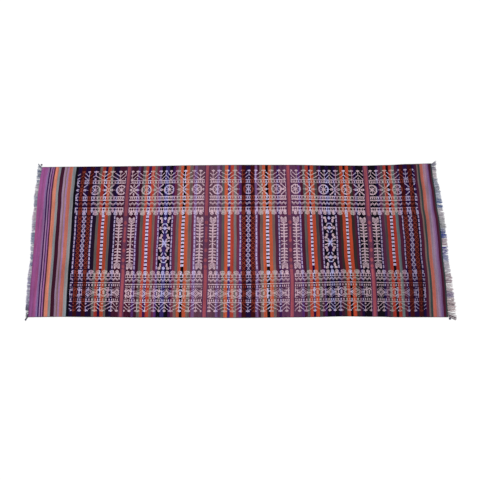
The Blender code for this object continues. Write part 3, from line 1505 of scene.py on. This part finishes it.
@dataclass(frozen=True)
class WovenGround:
    """The finish of the striped cloth: slanted stitches in rows, with uneven dye and painted shade in
    the grooves between the stitches.
    """

    name: str = "woven_ground"
    stitch_length: float = 4.9
    stitch_rise: float = 1.25
    slant: float = 0.9
    relief: float = 0.0005
    warm: tuple[float, float, float, float] = (1.14, 0.96, 0.90, 1)
    cool: tuple[float, float, float, float] = (0.86, 1.03, 1.10, 1)

    def make(self) -> bpy.types.Material:
        """Builds the material."""
        bench = NodeBench(self.name)
        bench.matte(0.95, 0.02)
        place = bench.add("ShaderNodeSeparateXYZ")
        bench.join(bench.add("ShaderNodeTexCoord").outputs["Object"], place.inputs[0])
        along = bench.sums("MULTIPLY", place.outputs["X"], 1 / MM)
        across = bench.sums("MULTIPLY", place.outputs["Y"], 1 / MM)
        sway = bench.sums("PINGPONG", along, self.stitch_rise * 2)
        slid = bench.sums("ADD", across, bench.sums("MULTIPLY", sway, self.slant))
        joined = bench.add("ShaderNodeCombineXYZ")
        bench.join(slid, joined.inputs["X"])
        bench.join(along, joined.inputs["Y"])
        stitches = bench.add("ShaderNodeTexBrick", offset=0.5, squash=1.0)
        stitches.inputs["Color1"].default_value = (0.86, 0.86, 0.86, 1)
        stitches.inputs["Color2"].default_value = (1.10, 1.10, 1.10, 1)
        # The mortar's darker grey is painted shade in the grooves between the stitches, where the bump
        # dips
        stitches.inputs["Mortar"].default_value = (0.62, 0.62, 0.62, 1)
        stitches.inputs["Scale"].default_value = 1
        stitches.inputs["Mortar Size"].default_value = 0.10
        stitches.inputs["Mortar Smooth"].default_value = 1
        stitches.inputs["Brick Width"].default_value = self.stitch_length
        stitches.inputs["Row Height"].default_value = self.stitch_rise
        bench.join(joined.outputs[0], stitches.inputs["Vector"])
        streaks = bench.tones(bench.noise((420, 9, 1), 3), 0.80, 1.17)
        lots = bench.tones(bench.noise((85, 2.2, 1), 2), 0.74, 1.26)
        cloud = bench.tones(bench.noise((14, 9, 1), 3), 0.86, 1.14)
        faded = bench.blend(bench.noise((60, 3, 1), 2, turn=0.01), self.warm, self.cool)
        colour = bench.times(bench.yarn(), stitches.outputs["Color"])
        colour = bench.times(bench.times(colour, streaks), bench.times(lots, cloud))
        colour = bench.times(colour, faded)
        bench.join(colour, bench.shader.inputs["Base Color"])
        dents = bench.sums("SUBTRACT", 1.0, stitches.outputs["Fac"])
        rough = bench.sums("MULTIPLY", bench.noise((900, 300, 1), 2), 0.5)
        bench.bump(bench.sums("ADD", dents, rough), 0.8, self.relief)
        return bench.material


@dataclass(frozen=True)
class RaisedWeft:
    """The finish of the pattern wefts: plied wool, a little fuller and paler than the ground."""

    name: str = "raised_weft"
    ply: float = 1900.0
    relief: float = 0.00018

    def make(self) -> bpy.types.Material:
        """Builds the material."""
        bench = NodeBench(self.name)
        bench.matte(0.93, 0.03)
        fibres = bench.noise((self.ply, self.ply * 0.28, 1), 2, turn=0.6)
        wear = bench.tones(bench.noise((36, 22, 1), 3), 0.86, 1.10)
        # One noise both raises the fibres and tones them, so the low grooves come out darker: partly
        # fibre tone, partly painted shade
        tone = bench.tones(fibres, 0.88, 1.09)
        colour = bench.times(bench.times(bench.yarn(), tone), wear)
        bench.join(colour, bench.shader.inputs["Base Color"])
        bench.bump(fibres, 0.7, self.relief)
        return bench.material


@dataclass(frozen=True)
class WarpEnd:
    """The finish of the fringe: loose twisted warp ends, lighter towards their tips, with the grooves
    between their fibres partly painted darker as shade.
    """

    name: str = "warp_end"
    twist: float = 1600.0
    relief: float = 0.0002

    def make(self) -> bpy.types.Material:
        """Builds the material."""
        bench = NodeBench(self.name)
        bench.matte(0.95, 0.05)
        fibres = bench.noise((self.twist * 0.4, self.twist, self.twist), 2, turn=0.5)
        # One noise both raises the fibres and tones them, so the low grooves come out darker: partly
        # fibre tone, partly painted shade
        tone = bench.tones(fibres, 0.80, 1.14)
        bench.join(bench.times(bench.yarn(), tone), bench.shader.inputs["Base Color"])
        bench.bump(fibres, 0.6, self.relief)
        return bench.material


@dataclass(frozen=True)
class StudioPaint:
    """The finish of the floor: plain, pale and matte."""

    name: str = "studio_floor"
    tone: float = 0.86

    def make(self) -> bpy.types.Material:
        """Builds the material."""
        bench = NodeBench(self.name)
        bench.shader.inputs["Roughness"].default_value = 0.9
        bench.shader.inputs["Specular IOR Level"].default_value = 0.1
        grain = bench.tones(bench.noise((30, 30, 30), 2), self.tone * 0.995, self.tone)
        bench.join(grain, bench.shader.inputs["Base Color"])
        return bench.material


@dataclass
class Field:
    """The woven cloth: one closed sheet with a line of its mesh on every stripe's edge."""

    lay: LaidCloth
    stripes: StripePlan
    name: str = "woven_field"
    widest_cell: float = 9.0
    first_row: float = 10.0
    row_step: float = 12.0
    groove: float = 0.00014
    strips: int = 3
    face_share: float = 0.80
    # How dark the rim is painted, as shade on the cloth's sloping long edges
    rim_shade_tone: float = 0.55
    back_tone: float = 0.85
    map_gap: float = 0.002

    def row_places(self) -> np.ndarray:
        """Places of the mesh's lines across the plan."""
        count = round((PLAN_WIDTH - 2 * self.first_row) / self.row_step)
        inner = np.linspace(self.first_row, PLAN_WIDTH - self.first_row, count + 1)
        rim = np.array(RIM_LINES)
        return np.concatenate((rim, inner, PLAN_WIDTH - rim[::-1]))

    def build(self) -> bpy.types.Object:
        """Models the cloth.

        Returns:
            The piece.
        """
        lines, rows = self.stripes.lines(self.widest_cell), self.row_places()
        columns, steps = len(lines) - 1, len(rows) - 1
        shape = bmesh.new()
        bmesh.ops.create_grid(shape, x_segments=columns, y_segments=steps, size=1)
        raised = bmesh.ops.extrude_face_region(shape, geom=shape.faces[:])["geom"]
        upper = [item for item in raised if isinstance(item, bmesh.types.BMVert)]
        bmesh.ops.translate(shape, verts=upper, vec=(0, 0, 1))
        bmesh.ops.recalc_face_normals(shape, faces=shape.faces)
        mesh = bpy.data.meshes.new(self.name)
        shape.to_mesh(mesh)
        shape.free()
        grid = vertex_places(mesh)
        column = np.rint((grid[:, 0] + 1) / 2 * columns).astype(int)
        row = np.rint((1 - grid[:, 1]) / 2 * steps).astype(int)
        is_face = grid[:, 2] > 0.5
        u, v = lines[column], rows[row]
        x, y = self.lay.on_floor(u, v)
        edge = np.isin(np.round(u, 3), np.round(self.stripes.ends, 3))
        z = self.lay.height(u, v) + np.where(edge, -self.groove, self.groove * 0.6)
        z = np.where(is_face, z, 0.0)
        mesh.vertices.foreach_set("co", np.stack((x, y, z), axis=1).ravel())
        self.dress(mesh, u, v, is_face)
        piece = add_piece(self.name, mesh, WovenGround().make())
        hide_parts("rug_field")
        return piece

    def dress(self, mesh: bpy.types.Mesh, u: np.ndarray, v: np.ndarray, is_face: np.ndarray) -> None:
        """Gives the cloth its stripes' colours, with painted shade on its sloping rim, and its map.

        Args:
            mesh: The cloth's mesh.
            u: Each vertex's place along the plan.
            v: Each vertex's place across the plan.
            is_face: Which vertices are on the patterned face.
        """
        corner, face = corner_vertices(mesh), corner_faces(mesh)
        counts = np.bincount(face)
        middle = np.bincount(face, u[corner]) / counts
        middle_v = np.bincount(face, v[corner]) / counts
        colours = self.stripes.grounds[self.stripes.at(middle)]
        rim = np.minimum(middle_v, PLAN_WIDTH - middle_v)
        # Painted shade: the last three millimetres of each long edge, where the cloth slopes down, are
        # darker
        colours = colours * np.where(rim < RIM_LINES[-1], self.rim_shade_tone, 1.0)[:, None]
        on_face = np.bincount(face, is_face[corner].astype(float)) / counts > 0.9
        colours = colours * np.where(on_face, 1.0, self.back_tone)[:, None]
        set_colours(mesh, colours[face], "CORNER")
        strip_length = PLAN_LENGTH / self.strips
        strip = np.minimum(np.floor(middle / strip_length), self.strips - 1)[face]
        inner = 1 - 2 * self.map_gap
        across = np.clip((u[corner] - strip * strip_length) / strip_length, 0, 1)
        up = v[corner] / PLAN_WIDTH * 0.99
        band = self.face_share / self.strips
        face_up = strip * band + up * band
        back = self.face_share + (1 - self.face_share) * up
        flat = np.where(on_face[face], across, u[corner] / PLAN_LENGTH) * inner + self.map_gap
        height = np.where(on_face[face], face_up, back + self.map_gap)
        set_map(mesh, np.stack((flat, height), axis=1))


@dataclass
class Brocade:
    """Some rows of raised pattern wefts: each stitch is a small pillow of yarn on the cloth."""

    lay: LaidCloth
    stripes: StripePlan
    plan: PatternPlan
    name: str
    first: int
    last: int
    rise: float = 0.00052
    sunk: float = 0.00030
    fullness: float = 0.94
    slant: float = 0.22
    dull_rust: float = 0.75
    # Where across the plan the far and the near columns of WEARS hold
    far_wear: float = 133.0
    near_wear: float = 663.0
    # Room that the map leaves beside a strip and above it, in millimetres
    map_side: float = 4.0
    map_end: float = 12.0
    strips: int = 4
    seed: int = 7

    def pillow(self) -> bmesh.types.BMesh:
        """One stitch of size 1: a block whose top draws in."""
        shape = bmesh.new()
        bmesh.ops.create_cube(shape, size=1)
        bmesh.ops.translate(shape, verts=shape.verts, vec=(0, 0, 0.5))
        top = [corner for corner in shape.verts if corner.co.z > 0.5]
        bmesh.ops.scale(shape, verts=top, vec=(0.56, 0.78, 1))
        return shape

    def build(self) -> bpy.types.Object:
        """Models the stitches.

        Returns:
            The piece.
        """
        stitches = self.plan.floats(self.first, self.last)
        count = len(stitches)
        shape = self.pillow()
        per_copy = len(shape.verts)
        mesh = repeated(shape, count, self.name)
        local = vertex_places(mesh)
        owner = np.arange(len(local)) // per_copy
        rng = np.random.default_rng(self.seed)
        pick, row, length = stitches.T
        sides = self.stripes.pick_edges[pick]
        width = sides[:, 1] - sides[:, 0]
        centre_u = sides.mean(axis=1) + rng.normal(0, 0.10, count)
        centre_v = (row + length / 2) * ROW + rng.normal(0, 0.12, count)
        centre_v += self.lay.sag(centre_u, centre_v)
        size_u = width * self.fullness * rng.uniform(0.94, 1.05, count)
        size_v = ROW * length * 0.97
        lean = np.where(pick % 2 == 0, self.slant, -self.slant)
        rise = self.rise * rng.uniform(0.8, 1.2, count)
        u = centre_u[owner] + local[:, 0] * size_u[owner]
        u += lean[owner] * local[:, 1] * ROW
        v = centre_v[owner] - local[:, 1] * size_v[owner]
        x, y = self.lay.on_floor(u, v)
        base = self.lay.height(centre_u, centre_v) - self.sunk
        z = base[owner] + local[:, 2] * (rise + self.sunk)[owner]
        mesh.vertices.foreach_set("co", np.stack((x, y, z), axis=1).ravel())
        tone = rng.normal(1.0, 0.09, count)[:, None] * rng.normal(1.0, 0.025, (count, 3))
        tone = tone * self.wear(centre_u, centre_v)[:, None]
        set_colours(mesh, (self.wools(pick, row) * tone)[owner], "POINT")
        self.lay_out(mesh, u, v, centre_u[owner])
        piece = add_piece(self.name, mesh, RAISED_WEFT)
        return piece

    def wools(self, pick: np.ndarray, row: np.ndarray) -> np.ndarray:
        """The stitches' wools. The rust ones are duller in the rows along the edges.

        Args:
            pick: Each stitch's pick.
            row: Each stitch's first row.

        Returns:
            A row of red, green and blue light for each stitch.
        """
        owner = self.stripes.pick_stripe[pick]
        motifs = [stripe.motif for stripe in self.stripes.stripes]
        rusty = np.array([motif is Motif.LOZENGES for motif in motifs])[owner]
        edge_rows = (row < MIDDLE_FIRST) | (row >= MIDDLE_LAST)
        return self.stripes.marks[owner] * np.where(rusty & edge_rows, self.dull_rust, 1)[:, None]

    def wear(self, u: np.ndarray, v: np.ndarray) -> np.ndarray:
        """How bright the pattern yarns still are.

        Args:
            u: Along the plan, in millimetres.
            v: Across the plan, in millimetres.

        Returns:
            A factor, 1 where they are as dyed.
        """
        stops = [row.u for row in WEARS]
        far = np.interp(u, stops, [row.far for row in WEARS])
        near = np.interp(u, stops, [row.near for row in WEARS])
        across = (v - self.far_wear) / (self.near_wear - self.far_wear)
        return far + (near - far) * np.clip(across, 0, 1)

    def lay_out(self, mesh: bpy.types.Mesh, u: np.ndarray, v: np.ndarray, centre: np.ndarray) -> None:
        """Gives the stitches a map: the rows cut into strips, one over the other.

        Args:
            mesh: The mesh.
            u: Each vertex's place along the plan.
            v: Each vertex's place across the plan.
            centre: The middle of each vertex's stitch along the plan.
        """
        span = (PATTERN_END - PATTERN_START) / self.strips
        strip = np.clip(np.floor((centre - PATTERN_START) / span), 0, self.strips - 1)
        across = (u - PATTERN_START - strip * span + self.map_side) / (span + 2 * self.map_side)
        low, high = self.first * ROW - self.map_end, self.last * ROW + self.map_end
        up = (v - low) / (high - low)
        corner = corner_vertices(mesh)
        places = np.stack((across, (strip + up) / self.strips), axis=1)
        set_map(mesh, np.clip(places, 0, 1)[corner])


@dataclass
class Fringe:
    """One end's fringe: loose warp ends by the hundred that lie on the floor in small bunches."""

    lay: LaidCloth
    name: str
    node: str
    side: int
    bunches: tuple[Bunch, ...]
    strands: int = 980
    per_bunch: int = 11
    thickness: float = 0.0013
    thinnest: float = 0.85
    thickest: float = 1.25
    sections: int = 5
    reach: float = 0.996
    fan: float = 0.021
    fan_reach: float = 0.036
    ripples: tuple[Ripple, ...] = (Ripple(0.0024, 9, 0.4), Ripple(0.0016, 23, 1.9))
    bunch_lean: float = 0.0017
    strand_lean: float = 0.0009
    gathering: float = 0.22
    curl: float = 0.0006
    taper: float = 0.35
    inside: float = 0.0016
    leaving: float = 0.0012
    lying: float = 0.0007
    lift: float = 0.0011
    least_height: float = 0.0001
    seed: int = 3

    def strand(self) -> bmesh.types.BMesh:
        """One strand of size 1 along z, closed at both ends."""
        shape = bmesh.new()
        bmesh.ops.create_circle(shape, cap_ends=True, segments=3, radius=0.5)
        end = shape.faces[:]
        for _ in range(self.sections):
            grown = bmesh.ops.extrude_face_region(shape, geom=end)["geom"]
            end = [item for item in grown if isinstance(item, bmesh.types.BMFace)]
            corners = [item for item in grown if isinstance(item, bmesh.types.BMVert)]
            bmesh.ops.translate(shape, verts=corners, vec=(0, 0, 1 / self.sections))
        bmesh.ops.recalc_face_normals(shape, faces=shape.faces)
        return shape

    def build(self) -> bpy.types.Object:
        """Models the fringe.

        Returns:
            The piece.
        """
        shape = self.strand()
        per_copy = len(shape.verts)
        mesh = repeated(shape, self.strands, self.name)
        local = vertex_places(mesh)
        owner = np.arange(len(local)) // per_copy
        rng = np.random.default_rng(self.seed)
        count = self.strands
        across = np.sort(rng.uniform(-self.reach, self.reach, count))
        bunch = np.arange(count) // self.per_bunch
        root_x, root_y = self.lay.place(np.full(count, float(self.side)), across)
        length = self.lengths(root_y, bunch, rng)
        slant = self.slants(root_y, across, bunch, rng)
        middle = np.bincount(bunch, root_y)[bunch] / np.bincount(bunch)[bunch]
        gather = (middle - root_y) * self.gathering
        curl = rng.normal(0, self.curl, count)
        phase = rng.uniform(0, math.tau, count)
        along = local[:, 2]
        radius = self.thickness * rng.uniform(self.thinnest, self.thickest, count)
        taper = 1 - self.taper * along**2
        x = root_x[owner] + self.side * (along * (length + self.inside)[owner] - self.inside)
        y = root_y[owner] + slant[owner] * along**1.4 + gather[owner] * along
        y += curl[owner] * np.sin(along * 7 + phase[owner])
        lift = rng.uniform(0.0, self.lift, count)
        floor = self.lying + lift * 0.6
        start = self.leaving + lift * 0.5
        z = start[owner] + (floor - start)[owner] * np.clip(along * 2.2, 0, 1)
        x_off, y_off = self.turned(local, slant / np.maximum(length, 0.005), owner)
        x += x_off * radius[owner] * taper
        y += y_off * radius[owner] * taper
        z += local[:, 0] * radius[owner] * taper
        z = np.maximum(z, self.least_height)
        mesh.vertices.foreach_set("co", np.stack((x, y, z), axis=1).ravel())
        spread = np.abs(root_y - middle)
        widest = np.zeros(bunch[-1] + 1)
        np.maximum.at(widest, bunch, spread)
        outer = spread / np.maximum(widest, 0.0005)[bunch]
        self.dress(mesh, root_y, along, owner, outer, rng)
        piece = add_piece(self.name, mesh, WARP_END)
        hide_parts(self.node)
        return piece

    def lengths(self, root: np.ndarray, bunch: np.ndarray, rng: np.random.Generator) -> np.ndarray:
        """How long the strands are, with bunches and strands a little uneven.

        Args:
            root: y of each strand's root.
            bunch: The bunch that each strand is in.
            rng: The source of unevenness.

        Returns:
            The lengths.
        """
        column = "left_fringe" if self.side < 0 else "right_fringe"
        stops = [row.y for row in SHORT_EDGES]
        length = eased(stops, [getattr(row, column) for row in SHORT_EDGES], root)
        length = length * (1 + rng.uniform(-0.12, 0.12, bunch[-1] + 1)[bunch])
        return length * (1 + rng.normal(0, 0.07, len(root)))

    def slants(
        self, root: np.ndarray, across: np.ndarray, bunch: np.ndarray, rng: np.random.Generator
    ) -> np.ndarray:
        """How far aside the strands' tips lie, fanned out at the corners.

        Args:
            root: y of each strand's root.
            across: The roots as shares of the half width, from -1 to 1.
            bunch: The bunch that each strand is in.
            rng: The source of unevenness.

        Returns:
            The distances.
        """
        slant = np.zeros(len(root))
        for ripple in self.ripples:
            slant += ripple.depth * np.sin(ripple.waves * math.tau * root + ripple.start)
        slant += rng.normal(0, self.bunch_lean, bunch[-1] + 1)[bunch]
        slant += rng.normal(0, self.strand_lean, len(root))
        for edge in (-1, 1):
            away = np.abs(edge - across) * self.lay.half_width
            slant += edge * self.fan * np.clip(1 - away / self.fan_reach, 0, 1) ** 2
        return slant

    def turned(
        self, local: np.ndarray, slope: np.ndarray, owner: np.ndarray
    ) -> tuple[np.ndarray, np.ndarray]:
        """Turns the strands' round sections to face the way they run.

        Args:
            local: The vertices of the straight strands.
            slope: How far each strand leans aside for its length.
            owner: Each vertex's strand.

        Returns:
            x and y of the vertices from their strand's middle line.
        """
        heading = np.arctan(slope)[owner]
        return -self.side * local[:, 1] * np.sin(heading), local[:, 1] * np.cos(heading)

    def dress(
        self,
        mesh: bpy.types.Mesh,
        root: np.ndarray,
        along: np.ndarray,
        owner: np.ndarray,
        outer: np.ndarray,
        rng: np.random.Generator,
    ) -> None:
        """Gives each strand its wool, with painted shade towards its bunch's edges and on some strands
        at random, darker towards the root, and its own place on the map.

        Args:
            mesh: The fringe's mesh.
            root: y of each strand's root.
            along: Each vertex's share along its strand.
            owner: Each vertex's strand.
            outer: How far out in its bunch each strand is, from 0 to 1.
            rng: The source of unevenness.
        """
        ends = np.array([bunch.end for bunch in self.bunches])
        ragged = root + rng.normal(0, 0.005, len(root))
        bunch = np.clip(np.searchsorted(ends, ragged), 0, len(ends) - 1)
        wools = np.array([to_linear(row.wool) for row in self.bunches])[bunch]
        painted_shades = np.array([to_linear(row.painted_shade) for row in self.bunches])[bunch]
        # Painted shade: strands at a bunch's edge, and some at random, are drawn towards the bunch's
        # darker colour, as shadow between the strands
        painted_shade_share = np.clip(0.75 * outer**4 + rng.uniform(0, 1, len(root)) ** 2.2, 0, 1)[:, None]
        colours = wools + (painted_shades - wools) * painted_shade_share
        colours = colours * rng.normal(1, 0.07, (len(root), 1))
        # Darker towards each strand's root, lighter towards its tip
        set_colours(mesh, colours[owner] * (0.82 + 0.22 * along[:, None]), "POINT")
        side = math.ceil(math.sqrt(len(root)))
        corner = corner_vertices(mesh)
        strand = owner[corner]
        angle = np.arange(len(corner)) % 4 / 3
        cell = np.stack((strand % side, strand // side), axis=1)
        inner = np.stack((0.1 + 0.8 * angle, 0.1 + 0.8 * along[corner]), axis=1)
        set_map(mesh, (cell + inner) / side)


@dataclass
class Knots:
    """The last warp ends at two corners, wound into small dark knots."""

    name: str = "corner_knots"
    places: tuple[tuple[float, float, float], ...] = (
        (1.0015, -0.3985, 0.0052),
        (-0.9895, 0.3945, 0.0044),
        (-0.9970, -0.3935, 0.0040),
    )
    height: float = 0.0032
    floor_gap: float = 0.0001
    turns: float = 8.0
    ridge: float = 0.09
    map_span: float = 0.014
    wool: tuple[int, int, int] = (62, 58, 78)

    def build(self) -> bpy.types.Object:
        """Models the knots as flattened balls with wound ridges.

        Returns:
            The piece.
        """
        shape = bmesh.new()
        for x, y, radius in self.places:
            made = bmesh.ops.create_uvsphere(shape, u_segments=24, v_segments=14, radius=1)
            for corner in made["verts"]:
                place = corner.co.copy()
                wound = math.sin(self.turns * (place.x + place.y) + place.z * 4)
                wound = 1 + self.ridge * wound
                corner.co.x = x + place.x * radius * wound
                corner.co.y = y + place.y * radius * wound
                corner.co.z = self.height / 2 * (1 + place.z) + self.floor_gap
        mesh = bpy.data.meshes.new(self.name)
        shape.to_mesh(mesh)
        shape.free()
        self.dress(mesh)
        piece = add_piece(self.name, mesh, WARP_END)
        return piece

    def dress(self, mesh: bpy.types.Mesh) -> None:
        """Gives the knots their wool, painted darker towards the floor as shade, and a map.

        Args:
            mesh: The knots' mesh.
        """
        places = vertex_places(mesh)
        height = np.clip(places[:, 2] / self.height, 0, 1)[:, None]
        # Painted shade: the wool is darker low down near the floor and lighter on top
        set_colours(mesh, to_linear(self.wool) * (0.45 + 0.75 * height), "POINT")
        middles = np.array([place[:2] for place in self.places])
        away = places[:, None, :2] - middles
        owner = np.argmin(np.hypot(away[..., 0], away[..., 1]), axis=1)
        local = away[np.arange(len(owner)), owner] / self.map_span + 0.5
        column = owner % 2 + np.clip(local[:, 0], 0, 1)
        line = owner // 2 + np.clip(local[:, 1], 0, 1)
        set_map(mesh, (np.stack((column, line), axis=1) / 2)[corner_vertices(mesh)])


@dataclass
class Studio:
    """The plain floor, the soft light and the camera at the photograph's angle."""

    focal_pixels: float = 620.0
    picture_pixels: float = 480.0
    sensor: float = 36.0
    camera_place: tuple[float, float, float] = (0.0264, -0.8559, 2.9088)
    camera_turn: tuple[float, float, float] = (16.255, 0.279, -0.229)
    sky: float = 0.92
    key: float = 1.15
    key_turn: tuple[float, float, float] = (28.0, -22.0, 0.0)
    key_width: float = 35.0
    floor_half: float = 6.0
    floor_gap: float = 0.0003

    def build(self) -> None:
        """Sets up the floor, the light and the camera."""
        shape = bmesh.new()
        bmesh.ops.create_grid(shape, x_segments=1, y_segments=1, size=self.floor_half)
        bmesh.ops.translate(shape, verts=shape.verts, vec=(0, 0, -self.floor_gap))
        mesh = bpy.data.meshes.new("studio_floor")
        shape.to_mesh(mesh)
        shape.free()
        mesh.materials.append(StudioPaint().make())
        floor = bpy.data.objects.new("studio_floor", mesh)
        bpy.context.scene.collection.objects.link(floor)
        self.light()
        self.aim()

    def light(self) -> None:
        """A bright even sky and one wide soft sun."""
        scene = bpy.context.scene
        world = bpy.data.worlds.new("studio_sky")
        world.use_nodes = True
        world.node_tree.nodes["Background"].inputs["Color"].default_value = (1, 1, 1, 1)
        world.node_tree.nodes["Background"].inputs["Strength"].default_value = self.sky
        scene.world = world
        lamp = bpy.data.lights.new("soft_sun", "SUN")
        lamp.energy = self.key
        lamp.angle = math.radians(self.key_width)
        sun = bpy.data.objects.new("soft_sun", lamp)
        sun.rotation_euler = [math.radians(angle) for angle in self.key_turn]
        scene.collection.objects.link(sun)
        scene.view_settings.view_transform = "Standard"

    def aim(self) -> None:
        """Puts the camera where the photograph was taken from."""
        lens = bpy.data.cameras.new("camera")
        lens.sensor_width = self.sensor
        lens.lens = self.focal_pixels / self.picture_pixels * self.sensor
        camera = bpy.data.objects.new("camera", lens)
        camera.location = self.camera_place
        camera.rotation_euler = [math.radians(angle) for angle in self.camera_turn]
        bpy.context.scene.collection.objects.link(camera)
        bpy.context.scene.camera = camera


RAISED_WEFT = RaisedWeft().make()
WARP_END = WarpEnd().make()

BROCADE_ROWS = (
    ("far_ferns", 10, 42),
    ("far_rings", 42, 78),
    ("far_zigzag", 78, 95),
    ("far_lace", 95, MIDDLE_FIRST),
    ("middle_far_half", MIDDLE_FIRST, 172),
    ("middle_near_half", 172, MIDDLE_LAST),
    ("near_lace", MIDDLE_LAST, 247),
    ("near_zigzag", 247, 268),
    ("near_medallions", 268, 291),
    ("near_ferns", 291, 320),
)


def main() -> None:
    """Builds the rug piece by piece, reports each, and sets the stage."""
    logging.basicConfig(level=logging.INFO, format="%(message)s")
    lay = LaidCloth()
    stripes = StripePlan()
    plan = PatternPlan(stripes)
    cloth = Field(lay, stripes).build()
    made = [cloth]
    for name, first, last in BROCADE_ROWS:
        made.append(Brocade(lay, stripes, plan, name, first, last).build())
    made.append(Fringe(lay, "warp_ends_left", "fringe_left", -1, LEFT_BUNCHES).build())
    made.append(Fringe(lay, "warp_ends_right", "fringe_right", 1, RIGHT_BUNCHES, seed=4).build())
    made.append(Knots().build())
    for piece in made:
        triangles = sum(len(face.vertices) - 2 for face in piece.data.polygons)
        LOG.info("%s: %d triangles", piece.name, triangles)
    Studio().build()


if __name__ == "__main__":
    main()
